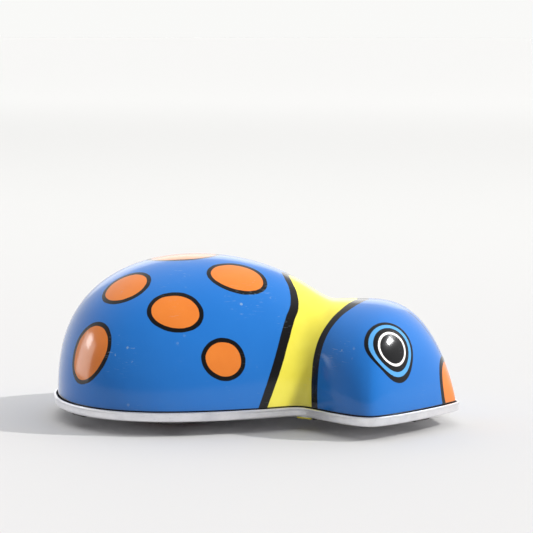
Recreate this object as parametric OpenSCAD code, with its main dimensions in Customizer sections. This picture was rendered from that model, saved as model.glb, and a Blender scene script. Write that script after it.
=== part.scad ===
// Wind-up tin beetle: a pressed and printed tinplate shell held by bent tabs on a
// bare tinplate pan, with a spring motor, two drive wheels and a front roller.
// Millimetres. X points to the nose, Y to the left and Z up.
// The origin is on the ground, under the middle of the toy.

/* [Shell] */
// Length of the shell from tail to nose
shell_l = 90; // [80:1:100]
// Greatest width of the shell, over the wing cases
body_w = 54; // [50:0.5:60]
// Height of the back above the rim of the pan
body_h = 31; // [30.5:0.1:34]
// Greatest width of the head
head_w = 43.5; // [40:0.5:48]
// Height of the head above the rim of the pan
head_h = 22; // [20:0.1:24]
// Thickness of the tinplate shell
shell_t = 0.45; // [0.35:0.05:0.6]
// Roundness of a cross-section, where 2 is an ellipse
section_power = 2.15; // [2:0.05:2.6]

/* [Pan] */
// Height of the underside of the pan above the ground
ground_gap = 3; // [2.5:0.1:3.4]
// Thickness of the pan
pan_t = 0.4; // [0.3:0.05:0.5]
// Height of the pan's upright wall, floor included
pan_h = 2.1; // [1.8:0.1:2.6]
// Groove between the shell and the pan's wall
pan_gap = 0.35; // [0.2:0.05:0.6]
// Width of the slots for the drive wheels
slot_w = 5; // [4.4:0.1:5.6]

/* [Running gear] */
// Diameter of the drive wheels
wheel_d = 19; // [18.5:0.1:19.4]
// Width of the drive wheels
wheel_w = 3.2; // [2.6:0.1:3.6]
// Distance between the middles of the drive wheels
wheel_track = 26.6; // [26:0.1:27.4]
// Position of the drive axle along the toy
axle_x = -17; // [-18:0.5:-16]
// Diameter of the drive axle and of the winding shaft
axle_d = 2; // [1.8:0.1:2.2]
// Diameter of the front roller
roller_d = 9; // [8.6:0.1:9.4]
// Position of the front roller along the toy
roller_x = 26; // [24:0.5:28]

/* [Motor] */
// Distance between the inner faces of the motor's side plates
plate_gap = 17; // [17:0.5:18]
// Thickness of the motor's side plates
plate_t = 0.8; // [0.6:0.1:1]
// Module of the gear teeth
gear_module = 0.6; // [0.58:0.01:0.6]
// Coils in the mainspring
spring_coils = 6; // [4:1:7]
// Running clearance round each shaft, on the radius
bore_fit = 0.05; // [0.03:0.01:0.08]

/* [Key] */
// Width of the key's two wings
key_w = 17; // [14:0.5:18]
// Length of the key along its shaft
key_l = 10; // [9:0.5:12]

/* [Hidden] */

$fn = 48;
eps = 0.01;

// The shell's outline and crown are two rounded lobes, the body's and the head's,
// blended at the neck. Each lobe falls from 1 at its middle to 0 at its end.
body_x = -20.5;       // widest place of the body
body_front = 44.5;    // from there to where the body's outline would close
head_x = 29;        // widest place of the head
head_rear = 20;
back_x = -12.5;     // highest place of the back
back_front = 30.5;
crown_x = 24;       // highest place of the head
crown_rear = 29;
width_blend = 4.8;
height_blend = 5;
half_l = shell_l / 2;

function lobe(u, p, q) = u >= 1 ? 0 : pow(1 - pow(max(u, 0), p), 1 / q);
// Rounds a lobe off at its middle, so that it has no ridge there
easing = 0.15;
function eased(u) = (sqrt(u * u + easing * easing) - easing) / (sqrt(1 + easing * easing) - easing);
function blend(a, b, k) = pow(pow(a, k) + pow(b, k), 1 / k);

function body_half(x) = body_w / 2 * (x < body_x
    ? lobe((body_x - x) / (body_x + half_l), 2, 2)
    : lobe(eased((x - body_x) / body_front), 1.28, 1.39));
function head_half(x) = head_w / 2 * (x < head_x
    ? lobe(eased((head_x - x) / head_rear), 1.05, 2.12)
    : lobe(eased((x - head_x) / (half_l - head_x)), 1.1, 1.15));
function back(x) = body_h * (x < back_x
    ? lobe((back_x - x) / (back_x + half_l), 2.25, 2.55)
    : lobe((x - back_x) / back_front, 2.25, 2.55));
function crown(x) = head_h * (x < crown_x
    ? lobe((crown_x - x) / crown_rear, 2.8, 2)
    : lobe((x - crown_x) / (half_l - crown_x), 2.8, 1.25));
function half_width(x) = blend(body_half(x), head_half(x), width_blend);
function height(x) = blend(back(x), crown(x), height_blend);

// Sections stand closer together towards the tail and the nose.
sections = 56;
arc_steps = 28;
function section_x(i) = -half_l * cos(180 * i / sections);

// Levels above the ground
floor_z = ground_gap + pan_t;
rim_z = ground_gap + pan_h;

// Tabs of the shell, each tab_span sections long, pass through the pan and bend under it.
tab_sections = [11, 22, 33, 46];
tab_span = 2;
tab_leg = 2.6;
tab_slack = 0.1;
tab_drop = pan_t + tab_slack + shell_t;

// One profile point: 0 and arc_steps + 2 are the lower edges of the skirt.
last_j = arc_steps + 2;
function bent(v) = sign(v) * pow(abs(v), 2 / section_power);
function profile(x, j, s) =
    let (a = 180 * (j - 1) / arc_steps,
         w = half_width(x) * (1 - 2 * s / body_w),
         h = height(x) * (1 - s / body_h))
    j == 0 ? [x * (1 - s / half_l), w, floor_z]
    : j == last_j ? [x * (1 - s / half_l), -w, floor_z]
    : [x * (1 - s / half_l), w * bent(cos(a)), rim_z + h * bent(sin(a))];

// The two ends of the loft are single points at the rim and at the skirt's edge.
skin_size = (sections - 1) * (last_j + 1) + 4;
function skin(s) = concat(
    [for (i = [1:sections - 1], j = [0:last_j]) profile(section_x(i), j, s)],
    [for (e = [-1, 1], z = [floor_z, rim_z]) [e * (half_l - s), 0, z]]
);
function at(side, i, j) = side * skin_size + (
    i == 0 || i == sections
    ? skin_size - 4 + (i == 0 ? 0 : 2) + (j == 0 || j == last_j ? 0 : 1)
    : (i - 1) * (last_j + 1) + j);

function whole(t) = t[0] != t[1] && t[1] != t[2] && t[2] != t[0];
function two(a, b, c, d) = [for (t = [[a, b, c], [a, c, d]]) if (whole(t)) t];
function turned(faces) = [for (f = faces) [f[2], f[1], f[0]]];
function flat_once(lists) = [for (l = lists, f = l) f];

function skin_faces(side) = flat_once(
    [for (i = [0:sections - 1], j = [0:last_j - 1])
        two(at(side, i, j), at(side, i + 1, j), at(side, i + 1, j + 1), at(side, i, j + 1))]);

function has_tab(i) = len([for (t = tab_sections) if (t <= i && i < t + tab_span) t]) > 0;
function edge_faces(j) = flat_once(
    [for (i = [0:sections - 1]) if (!has_tab(i))
        two(at(0, i, j), at(1, i, j), at(1, i + 1, j), at(0, i + 1, j))]);

// A tab's own points, four to a section: outer and inner bend, then the leg's end, low and high
tab_size = 4 * (tab_span + 1);
function tab_points(i, j) = flat_once([for (k = [i:i + tab_span])
    let (x = section_x(k), a = profile(x, j, 0), d = profile(x, j, shell_t),
         run = profile(section_x(i + tab_span), j, 0) - profile(section_x(i), j, 0),
         n = [run[1], -run[0], 0] / norm(run),
         leg = n * (n[1] * a[1] > 0 ? -tab_leg : tab_leg),
         low = [0, 0, -tab_drop], high = [0, 0, -tab_drop + shell_t])
    [a + low, d + high, d + low + leg, d + high + leg]]);
function tab_faces(i, j, base) = flat_once(concat(
    [for (k = [0:tab_span - 1])
        let (a = at(0, i + k, j), b = at(0, i + k + 1, j), c = at(1, i + k + 1, j),
             d = at(1, i + k, j), p = base + 4 * k, q = p + 4)
        flat_once([two(b, a, p, q), two(d, c, q + 1, p + 1), two(q, p, p + 2, q + 2),
            two(p + 1, q + 1, q + 3, p + 3), two(q + 2, p + 2, p + 3, q + 3)])],
    [let (a = at(0, i, j), d = at(1, i, j), p = base)
        flat_once([two(a, d, p + 1, p), two(p, p + 1, p + 3, p + 2)])],
    [let (b = at(0, i + tab_span, j), c = at(1, i + tab_span, j), q = base + 4 * tab_span)
        flat_once([two(c, b, q, q + 1), two(q + 1, q, q + 2, q + 3)])]));

tabs = [for (i = tab_sections, j = [0, last_j]) [i, j]];
function sided(faces, j) = j == 0 ? faces : turned(faces);

module shell_body() {
    points = concat(skin(0), skin(shell_t), flat_once([for (t = tabs) tab_points(t[0], t[1])]));
    tab_skin = flat_once([for (k = [0:len(tabs) - 1])
        sided(tab_faces(tabs[k][0], tabs[k][1], 2 * skin_size + tab_size * k), tabs[k][1])]);
    polyhedron(points, concat(
        skin_faces(0), turned(skin_faces(1)),
        edge_faces(0), turned(edge_faces(last_j)), tab_skin));
}

// Outline of the shell in plan, moved outwards by d
ring = concat(
    [for (i = [0:sections]) [section_x(i), -half_width(section_x(i))]],
    [for (i = [sections - 1:-1:1]) [section_x(i), half_width(section_x(i))]]);
function outline(d) = [for (k = [0:len(ring) - 1])
    let (run = ring[(k + 1) % len(ring)] - ring[(k + len(ring) - 1) % len(ring)])
    ring[k] + d * [run[1], -run[0]] / norm(run)];

// Shafts, as [x, z]
axle_at = [axle_x, wheel_d / 2];
key_at = [-7.5, 17.5];
great_teeth = 34;
second_pinion_teeth = 10;
second_teeth = 30;
drive_pinion_teeth = 10;
escape_pinion_teeth = 8;
function centres(a, b) = gear_module * (a + b) / 2;
function bearing(a, b) = atan2(b[1] - a[1], b[0] - a[0]);

// The second arbor stands where both its wheels mesh.
reach_key = centres(great_teeth, second_pinion_teeth);
reach_axle = centres(second_teeth, drive_pinion_teeth);
axle_to_key = key_at - axle_at;
span = norm(axle_to_key);
foot_run = (pow(reach_axle, 2) - pow(reach_key, 2) + pow(span, 2)) / (2 * span);
side_run = sqrt(pow(reach_axle, 2) - pow(foot_run, 2));
second_at = axle_at + foot_run * axle_to_key / span
    + side_run * [-axle_to_key[1], axle_to_key[0]] / span;
escape_bearing = 200;
escape_at = second_at + centres(second_teeth, escape_pinion_teeth)
    * [cos(escape_bearing), sin(escape_bearing)];
pallet_at = escape_at + [-1.2, -6.9];

// Shaft diameters inside the motor
arbor_d = 1.6;
pivot_d = 1;
pin_d = 1.2;

// Places across the toy
plate_y = plate_gap / 2;
spring_y = [-6.5, -0.8];
great_y = [0, 1.2];
ratchet_y = [1.3, 2.3];
fast_y = [4.2, 5.4];
escape_y = [-2.6, -1.8];
play = 0.15;

// Teeth are thinner than half a pitch, so each pair has backlash.
tooth_half = 0.19;
tip_half = 0.07;
root_half = 0.27;
function pitch_r(teeth) = gear_module * teeth / 2;
function on_circle(r, a) = [r * cos(a), r * sin(a)];
function tooth(teeth, k, turn) =
    let (step = 360 / teeth, a = turn + k * step, r = pitch_r(teeth),
         tip = r + 0.85 * gear_module, root = r - 1.15 * gear_module)
    [on_circle(root, a - root_half * step), on_circle(r, a - tooth_half * step),
     on_circle(tip, a - tip_half * step), on_circle(tip, a + tip_half * step),
     on_circle(r, a + tooth_half * step), on_circle(root, a + root_half * step)];
// Turn of gear b that puts its gap on gear a's tooth, when b lies at bearing f from a
function meshed(turn_a, a, b, f) = f + 180 - (360 / b) * ((turn_a - f) * a / 360 + 0.5);

great_turn = 0;
second_pinion_turn = meshed(great_turn, great_teeth, second_pinion_teeth,
    bearing(key_at, second_at));
second_turn = 0;
drive_turn = meshed(second_turn, second_teeth, drive_pinion_teeth,
    bearing(second_at, axle_at));
escape_turn = meshed(second_turn, second_teeth, escape_pinion_teeth,
    bearing(second_at, escape_at));

// Stands children on edge, from y[0] to y[1], with their plan x and y as x and z
module across(p, y) {
    translate([p[0], y[1], p[1]])
        rotate([90, 0, 0])
            linear_extrude(y[1] - y[0])
                children();
}
module rod(p, y, d) {
    across(p, y) circle(d = d);
}
module gear(teeth, turn) {
    polygon(flat_once([for (k = [0:teeth - 1]) [for (q = tooth(teeth, k, turn)) q]]));
}
// A wheel blank with round windows, as a stamped wheel has
module windows(count, r, d) {
    for (k = [0:count - 1])
        rotate(360 * k / count + 180 / count) translate([r, 0]) circle(d = d);
}

// Shell hole for the winding shaft
key_hole_d = axle_d + 2.4;
shell_y_at_key = half_width(key_at[0])
    * pow(1 - pow((key_at[1] - rim_z) / height(key_at[0]), section_power), 1 / section_power);

module shell() {
    color("royalblue") difference() {
        shell_body();
        rod(key_at, [shell_y_at_key - 6, shell_y_at_key + 6], key_hole_d);
    }
}

slot_l = 17;
pad_x = [4.5, 15.5];
pad_w = 14;
pad_drop = 0.4;
roller_slot = [10.4, 4.4];

module tab_slot(i, j) {
    a = profile(section_x(i), j, 0);
    c = profile(section_x(i + tab_span), j, shell_t);
    b = profile(section_x(i + tab_span), j, 0);
    middle = (a + c) / 2;
    translate([middle[0], middle[1], floor_z])
        rotate(atan2(b[1] - a[1], b[0] - a[0]))
            cube([norm(b - a) + 0.6, shell_t + 0.4, 3 * pan_t], center = true);
}

module pan_cuts() {
    for (s = [-1, 1])
        translate([axle_x, s * wheel_track / 2, floor_z])
            cube([slot_l, slot_w, 4 * pan_t], center = true);
    translate([roller_x, 0, floor_z])
        cube([roller_slot[0], roller_slot[1], 4 * pan_t], center = true);
    for (t = tabs) tab_slot(t[0], t[1]);
    for (p = concat(foot_holes, bracket_holes))
        translate([p[0], p[1], ground_gap - eps]) cylinder(d = rivet_d, h = pan_t + 2 * eps);
}

module pad(extra, z, h) {
    translate([pad_x[0] - extra, -pad_w / 2 - extra, z])
        cube([pad_x[1] - pad_x[0] + 2 * extra, pad_w + 2 * extra, h]);
}

module base_pan() {
    color("gainsboro") difference() {
        union() {
            translate([0, 0, ground_gap])
                linear_extrude(pan_h) polygon(outline(pan_gap + pan_t));
            pad(0, ground_gap - pad_drop, pan_t);
        }
        translate([0, 0, floor_z]) linear_extrude(pan_h) polygon(outline(pan_gap));
        pad(-pan_t, ground_gap, pan_t + eps);
        pan_cuts();
    }
}

// Motor frame
plate_outline = [[-36, floor_z], [1, floor_z], [5.5, 21], [4.5, 27], [-24, 28.5], [-35.5, 25]];
pillar_at = [[-2, 6.4], [-33, 22.6], [2.4, 24.6]];
pillar_d = 2;
rivet_d = 1.5;
foot = [6, 5];
foot_x = [-31, -4];
plate_outer = plate_y + plate_t;
foot_holes = [for (s = [-1, 1], x = foot_x) [x, s * (plate_outer + foot[1] / 2)]];
bracket_holes = [for (s = [-1, 1]) [roller_x, s * 4.9]];

module frame_plate(s) {
    difference() {
        union() {
            across([0, 0], s > 0 ? [plate_y, plate_outer] : [-plate_outer, -plate_y])
                polygon(plate_outline);
            for (x = foot_x)
                translate([x - foot[0] / 2, s > 0 ? plate_y : -plate_outer - foot[1], floor_z])
                    cube([foot[0], foot[1] + plate_t, plate_t]);
        }
        for (b = [[axle_at, axle_d], [key_at, axle_d], [second_at, pivot_d], [escape_at, pivot_d],
                [pallet_at, pivot_d]])
            rod(b[0], [-plate_outer - 1, plate_outer + 1], b[1] + 2 * bore_fit);
        for (p = pillar_at) rod(p, [-plate_outer - 1, plate_outer + 1], pivot_d);
        for (p = foot_holes)
            translate([p[0], p[1], floor_z - eps]) cylinder(d = rivet_d, h = plate_t + 2 * eps);
    }
}
module frame_plate_left() {
    color("silver") frame_plate(1);
}
module frame_plate_right() {
    color("silver") frame_plate(-1);
}
module frame_pillars() {
    color("darkgray") for (p = pillar_at) union() {
        rod(p, [-plate_y, plate_y], pillar_d);
        rod(p, [-plate_outer - 0.3, plate_outer + 0.3], pivot_d);
        for (s = [-1, 1])
            rod(p, s > 0 ? [plate_outer, plate_outer + 0.5] : [-plate_outer - 0.5, -plate_outer],
                pillar_d);
    }
}
// A rivet through a stack that lies between the heights z[0] and z[1]
module rivet(p, z) {
    head_d = 2.8;
    head_h = 0.5;
    translate([p[0], p[1], z[0] - head_h]) {
        cylinder(d = rivet_d, h = z[1] - z[0] + 2 * head_h);
        cylinder(d = head_d, h = head_h);
        translate([0, 0, z[1] - z[0] + head_h]) cylinder(d = head_d, h = head_h);
    }
}
module frame_rivets() {
    color("silver") for (p = foot_holes) rivet(p, [ground_gap, floor_z + plate_t]);
}

// Mainspring: a strip wound from the shaft out to the lowest pillar
spring_t = 0.25;
spring_in = axle_d / 2 + 0.75;
spring_out = 8.8;
spring_step = 15;
spring_turn = bearing(key_at, pillar_at[0]) - 8;
function spring_r(a) = spring_in + (spring_out - spring_in) * a / (360 * spring_coils);
function spring_edge(side) = [for (a = [0:spring_step:360 * spring_coils])
    on_circle(spring_r(a) + side * spring_t / 2, spring_turn + a)];
module mainspring() {
    far = spring_edge(1);
    near = spring_edge(-1);
    last = len(near) - 1;
    hook = pillar_at[0] - key_at;
    hook_out = hook + on_circle(pillar_d / 2 + 0.3, bearing(key_at, pillar_at[0]) - 90);
    hook_in = hook_out - on_circle(spring_t, bearing(key_at, pillar_at[0]) - 90);
    color("slategray") across(key_at, spring_y) union() {
        polygon(concat([for (p = far) p], [for (k = [last:-1:0]) near[k]]));
        polygon([near[last], far[last], hook_out, hook_in]);
    }
}

// Winding shaft with its ratchet wheel, and the great wheel that rides on it
shaft_shoulder = 0.4;
key_y = shell_y_at_key + 1.2;
key_socket = 5.4;
shaft_end = key_y + key_socket - 0.4;
ratchet_r = 4.6;
ratchet_teeth = 16;
ratchet_depth = 0.9;
ratchet_rise = 0.12;
module winding_shaft() {
    color("lightsteelblue") difference() {
        union() {
            rod(key_at, [-plate_outer - shaft_shoulder, shaft_end], axle_d);
            rod(key_at, [spring_y[0] - 0.4, spring_y[1] + 0.3], axle_d + 0.8);
        }
        key_cross_hole();
    }
}
module ratchet_wheel() {
    color("steelblue") across(key_at, ratchet_y) difference() {
        polygon([for (k = [0:ratchet_teeth - 1], e = [0, 1])
            on_circle(ratchet_r - ratchet_depth * (1 - e),
                (k + ratchet_rise * e) * 360 / ratchet_teeth)]);
        circle(d = axle_d);
    }
}
module great_wheel() {
    color("gold") across(key_at, great_y) difference() {
        gear(great_teeth, great_turn);
        circle(d = axle_d + 2 * bore_fit);
        rotate(click_bearing) translate([click_r, 0]) circle(d = pivot_d);
        rotate(click_bearing + click_spring_turn) translate([click_r, 0]) circle(d = pivot_d);
    }
}

// Click: a pawl on the great wheel that drops into the ratchet wheel
click_r = 7.4;
click_bearing = 0;
click_spring_turn = 72;
click_tip_bearing = 45;
click_tip_r = ratchet_r + 0.12;
click_back = 0.95;
click_boss_r = 1.3;
module click() {
    pivot = on_circle(click_r, click_bearing);
    tip = on_circle(click_tip_r, click_tip_bearing);
    reach = norm(tip - pivot);
    color("dimgray") across(key_at, ratchet_y) translate(pivot) rotate(bearing(pivot, tip))
        difference() {
            polygon(concat(
                [for (a = [90:15:270]) on_circle(click_boss_r, a)],
                [[reach * 0.6, -click_back], [reach, -0.25], [reach, 0.08], [reach * 0.6, 0.35]]));
            circle(d = pivot_d + 2 * bore_fit);
        }
}
module click_rivet() {
    pivot = key_at + on_circle(click_r, click_bearing);
    color("silver") union() {
        rod(pivot, [great_y[0] - 0.3, ratchet_y[1] + play + 0.4], pivot_d);
        rod(pivot, [great_y[0] - 0.3, great_y[0]], 1.8);
        rod(pivot, [ratchet_y[1] + play, ratchet_y[1] + play + 0.4], 2);
    }
}
// A wire that presses the click inwards, with its foot in the great wheel
module click_spring() {
    wire = 0.4;
    foot_at = on_circle(click_r, click_bearing + click_spring_turn);
    pivot = on_circle(click_r, click_bearing);
    tip = on_circle(click_tip_r, click_tip_bearing);
    rest = pivot + 0.55 * (tip - pivot)
        + on_circle(click_back + 0.2 + wire / 2, bearing(pivot, tip) - 90);
    color("lightgray") union() {
        rod(key_at + foot_at, [great_y[0], ratchet_y[1]], pivot_d);
        across(key_at, [ratchet_y[0] + 0.2, ratchet_y[0] + 0.2 + wire])
            polygon([
                foot_at + on_circle(wire / 2, bearing(foot_at, rest) + 90),
                foot_at - on_circle(wire / 2, bearing(foot_at, rest) + 90),
                rest - on_circle(wire / 2, bearing(foot_at, rest) + 90),
                rest + on_circle(wire / 2, bearing(foot_at, rest) + 90)]);
    }
}

// Second arbor: a pinion cut on its shaft, and the second wheel pressed on it
module pivoted(p) {
    rod(p, [-plate_outer - 0.2, plate_outer + 0.2], pivot_d);
    rod(p, [-plate_y + play, plate_y - play], arbor_d);
}
module second_arbor() {
    color("lightsteelblue") union() {
        pivoted(second_at);
        across(second_at, [great_y[0] - 0.5, great_y[1] + 0.5])
            gear(second_pinion_teeth, second_pinion_turn);
    }
}
module second_wheel() {
    color("gold") across(second_at, fast_y) difference() {
        gear(second_teeth, second_turn);
        circle(d = arbor_d);
        windows(5, pitch_r(second_teeth) * 0.58, 3.4);
    }
}

// Drive axle with its pinion and the two wheels
hub_over = 0.6;
wheel_y = wheel_track / 2;
axle_end = wheel_y + wheel_w / 2 + hub_over + 0.3;
module drive_axle() {
    color("silver") rod(axle_at, [-axle_end, axle_end], axle_d);
}
module drive_pinion() {
    color("gold") difference() {
        union() {
            across(axle_at, [fast_y[0] - 0.5, fast_y[1] + 0.5])
                gear(drive_pinion_teeth, drive_turn);
            rod(axle_at, [fast_y[0] - 2.5, fast_y[0] - 0.5], 4);
        }
        rod(axle_at, [-plate_y, plate_y], axle_d);
    }
}
// Wheel: a rounded tread, a dished web and a hub that is longer inwards
module drive_wheel(s) {
    r = wheel_d / 2;
    w = wheel_w / 2;
    web = 0.6;
    hub_in = 1.6;
    color("firebrick") translate([axle_at[0], s * wheel_y, axle_at[1]]) rotate([-s * 90, 0, 0])
        rotate_extrude($fn = 96) polygon(concat(
            [[axle_d / 2, -w - hub_in], [2.4, -w - hub_in], [2.4, -web], [r - 2, -web],
             [r - 1.6, -w]],
            [for (a = [-60:20:60]) [r - 0.5 + 0.5 * cos(a), (w - 0.5) * sin(a) / sin(60)]],
            [[r - 1.6, w], [r - 2, web], [2.4, web], [2.4, w + hub_over],
             [axle_d / 2, w + hub_over]]));
}
module drive_wheel_left() {
    drive_wheel(1);
}
module drive_wheel_right() {
    drive_wheel(-1);
}

// Escapement: a star wheel on its own pinion, and a rocking weight that slows it
escape_r = 4;
escape_teeth = 12;
module escape_arbor() {
    color("lightsteelblue") union() {
        pivoted(escape_at);
        across(escape_at, [fast_y[0] - 0.5, fast_y[1] + 0.5])
            gear(escape_pinion_teeth, escape_turn);
    }
}
module escape_wheel() {
    color("gold") across(escape_at, escape_y) difference() {
        polygon([for (k = [0:escape_teeth - 1], e = [0, 1])
            on_circle(escape_r - 1.1 * e, (k + 0.5 * e) * 360 / escape_teeth)]);
        circle(d = arbor_d);
    }
}
// The pallet's two horns reach round the star wheel, outside its points at rest.
horn_spread = 34;
horn_d = 0.8;
horn_r = escape_r + 0.35 + horn_d / 2;
module pallet() {
    down = bearing(escape_at, pallet_at);
    weight = [7.4, 2.4];
    color("gray") difference() {
        union() {
            across(pallet_at, [escape_y[0], escape_y[1]]) union() {
                circle(d = 3);
                for (s = [-1, 1]) {
                    horn = escape_at - pallet_at + on_circle(horn_r, down + s * horn_spread);
                    side = on_circle(0.5, bearing([0, 0], horn) + 90);
                    polygon([side, -side, horn - side * 0.8, horn + side * 0.8]);
                    translate(horn) circle(d = horn_d);
                }
            }
            translate([pallet_at[0] - weight[0] / 2, escape_y[0] - 1.8, pallet_at[1] - 3.4])
                cube([weight[0], escape_y[1] - escape_y[0] + 1.8, weight[1]]);
        }
        rod(pallet_at, [-plate_y, plate_y], pivot_d + 2 * bore_fit);
    }
}
module pallet_pin() {
    color("silver") rod(pallet_at, [-plate_outer - 0.2, plate_outer + 0.2], pivot_d);
}

// Front roller on a pin between two ears
ear_t = 0.6;
ear_gap = 4.6;
ear_h = 3.2;
bracket = [17, 13];
roller_at = [roller_x, roller_d / 2];
ear_out = ear_gap / 2 + ear_t;
pin_head_d = 1.9;
module front_bracket() {
    color("silver") difference() {
        union() {
            translate([roller_x - bracket[0] / 2, -bracket[1] / 2, floor_z])
                cube([bracket[0], bracket[1], ear_t]);
            for (s = [-1, 1])
                translate([roller_x - 2.5, s * (ear_gap + ear_t) / 2 - ear_t / 2, floor_z])
                    cube([5, ear_t, ear_h]);
        }
        translate([roller_x, 0, floor_z])
            cube([roller_slot[0], ear_gap, 3 * ear_t], center = true);
        rod(roller_at, [-ear_gap, ear_gap], pin_d);
        for (y = [[ear_out, ear_gap], [-ear_gap, -ear_out]]) rod(roller_at, y, pin_head_d + 0.3);
        for (p = bracket_holes)
            translate([p[0], p[1], floor_z - eps]) cylinder(d = rivet_d, h = ear_t + 2 * eps);
    }
}
module bracket_rivets() {
    color("silver") for (p = bracket_holes) rivet(p, [ground_gap, floor_z + ear_t]);
}
module front_axle() {
    color("silver") union() {
        rod(roller_at, [-ear_out - 0.3, ear_out + 0.3], pin_d);
        rod(roller_at, [ear_out, ear_out + 0.4], pin_head_d);
        rod(roller_at, [-ear_out - 0.4, -ear_out], pin_head_d);
    }
}
module front_roller() {
    r = roller_d / 2;
    w = ear_gap / 2 - 0.5;
    color("firebrick") translate([roller_at[0], 0, roller_at[1]]) rotate([90, 0, 0])
        rotate_extrude($fn = 64) polygon([
            [pin_d / 2 + bore_fit, -w - 0.2], [1.5, -w - 0.2], [1.5, -w], [r - 0.5, -w],
            [r, -w + 0.5], [r, w - 0.5], [r - 0.5, w], [1.5, w], [1.5, w + 0.2],
            [pin_d / 2 + bore_fit, w + 0.2]]);
}

// Hole for the rivet that holds the key on the shaft
key_rivet_y = 1.6;
module key_cross_hole() {
    translate([key_at[0], key_y + key_rivet_y, key_at[1] - 4]) cylinder(d = pivot_d, h = 8);
}

// Key: a folded strip with two round wings, riveted across the end of the shaft
key_t = 1;
module key() {
    wing_r = 3.9;
    color("silver") difference() {
        union() {
            rod(key_at, [key_y, key_y + key_socket], axle_d + 1.6);
            translate([key_at[0], key_y + key_l - wing_r - 0.6, key_at[1] - key_t / 2]) {
                for (s = [-1, 1])
                    translate([s * (key_w / 2 - wing_r), 0, 0]) cylinder(r = wing_r, h = key_t);
                translate([-key_w / 2 + wing_r, -2.6, 0]) cube([key_w - 2 * wing_r, 5.2, key_t]);
            }
        }
        rod(key_at, [key_y - 1, shaft_end], axle_d);
        for (s = [-1, 1])
            translate([key_at[0] + s * (key_w / 2 - wing_r), key_y + key_l - wing_r - 0.6,
                    key_at[1] - key_t])
                cylinder(r = 1.5, h = 2 * key_t);
        key_cross_hole();
    }
}
module key_rivet() {
    color("silver") translate([key_at[0], key_y + key_rivet_y, key_at[1]]) union() {
        cylinder(d = pivot_d, h = axle_d + 2.2, center = true);
        for (s = [-1, 1]) translate([0, 0, s * (axle_d / 2 + 0.95)])
            cylinder(d = 1.8, h = 0.3, center = true);
    }
}

shell();
base_pan();
frame_plate_left();
frame_plate_right();
frame_pillars();
frame_rivets();
mainspring();
winding_shaft();
ratchet_wheel();
great_wheel();
click();
click_rivet();
click_spring();
second_arbor();
second_wheel();
drive_axle();
drive_pinion();
drive_wheel_left();
drive_wheel_right();
escape_arbor();
escape_wheel();
pallet();
pallet_pin();
front_bracket();
bracket_rivets();
front_axle();
front_roller();
key();
key_rivet();
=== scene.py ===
import math

import bmesh
import bpy
import numpy as np
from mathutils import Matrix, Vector
from mathutils.geometry import delaunay_2d_cdt


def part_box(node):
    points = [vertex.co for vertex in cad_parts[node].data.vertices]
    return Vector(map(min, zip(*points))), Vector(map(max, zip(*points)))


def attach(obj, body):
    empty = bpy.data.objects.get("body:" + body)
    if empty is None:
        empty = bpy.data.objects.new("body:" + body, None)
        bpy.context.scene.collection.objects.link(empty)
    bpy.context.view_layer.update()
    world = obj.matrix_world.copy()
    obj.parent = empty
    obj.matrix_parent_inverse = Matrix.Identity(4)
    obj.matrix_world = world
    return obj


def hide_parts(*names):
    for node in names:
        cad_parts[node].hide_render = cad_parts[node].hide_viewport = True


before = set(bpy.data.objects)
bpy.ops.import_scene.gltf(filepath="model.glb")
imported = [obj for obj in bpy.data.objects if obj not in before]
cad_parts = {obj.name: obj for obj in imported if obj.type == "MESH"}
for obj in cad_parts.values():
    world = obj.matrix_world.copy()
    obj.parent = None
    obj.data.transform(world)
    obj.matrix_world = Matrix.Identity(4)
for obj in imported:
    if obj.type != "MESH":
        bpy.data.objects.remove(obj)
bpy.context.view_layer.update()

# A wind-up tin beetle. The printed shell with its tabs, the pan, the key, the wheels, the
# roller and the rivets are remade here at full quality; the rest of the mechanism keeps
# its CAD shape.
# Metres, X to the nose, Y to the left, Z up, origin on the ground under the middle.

MM = 0.001

# ---------------------------------------------------------------- sizes from the CAD parts
SHELL_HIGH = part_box("shell")[1]
PAN_LOW, PAN_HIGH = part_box("base_pan")
KEY_LOW, KEY_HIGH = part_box("key")
HALF_L = SHELL_HIGH.x
BODY_HALF = SHELL_HIGH.y
RIM_Z = PAN_HIGH.z
BACK_H = SHELL_HIGH.z - RIM_Z
PAN_T = 0.4 * MM
PAD_DROP = 0.4 * MM
GAP_Z = PAN_LOW.z + PAD_DROP
FLOOR_Z = GAP_Z + PAN_T
SHELL_T = 0.45 * MM
PAN_IN = 0.35 * MM
PAN_OUT = PAN_IN + PAN_T
HEAD_HALF = 21.75 * MM
CROWN_H = 22 * MM
SECTION_POWER = 2.15

# The outline and the crown are two rounded lobes each. In millimetres along the toy: the
# place where a lobe is widest or highest, and from there to where it would close.
BODY_X, BODY_REACH = -20.5, 44.5
HEAD_X, HEAD_REACH = 29, 20
BACK_X, BACK_REACH = -12.5, 30.5
CROWN_X, CROWN_REACH = 24, 29
END_X = HALF_L / MM
WIDTH_BLEND, HEIGHT_BLEND = 4.8, 5
EASING = 0.15


def middle(node):
    low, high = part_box(node)
    return (low + high) / 2


KEY_AT = middle("winding_shaft")
AXLE_AT = middle("drive_axle")
ROLLER_AT = middle("front_axle")
WHEEL_W = 3.2 * MM
HUB_OVER = 0.6 * MM  # how far a wheel's hub stands out past its outer face
WHEEL_Y = AXLE_AT.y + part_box("drive_wheel_left")[1].y - HUB_OVER - WHEEL_W / 2


# ---------------------------------------------------------------- the shell's surface
def lobe(u, p, q):
    """Falls from 1 at u = 0 to 0 at u = 1; p shapes its top and q its end."""
    return np.power(1 - np.clip(u, 0, 1) ** p, 1 / q)


def eased(u):
    """Rounds a lobe off at its middle, so that it has no ridge there."""
    u, k = np.clip(u, 0, 1), EASING
    return (np.sqrt(u * u + k * k) - k) / (math.sqrt(1 + k * k) - k)


def blend(a, b, k):
    return (a**k + b**k) ** (1 / k)


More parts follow.
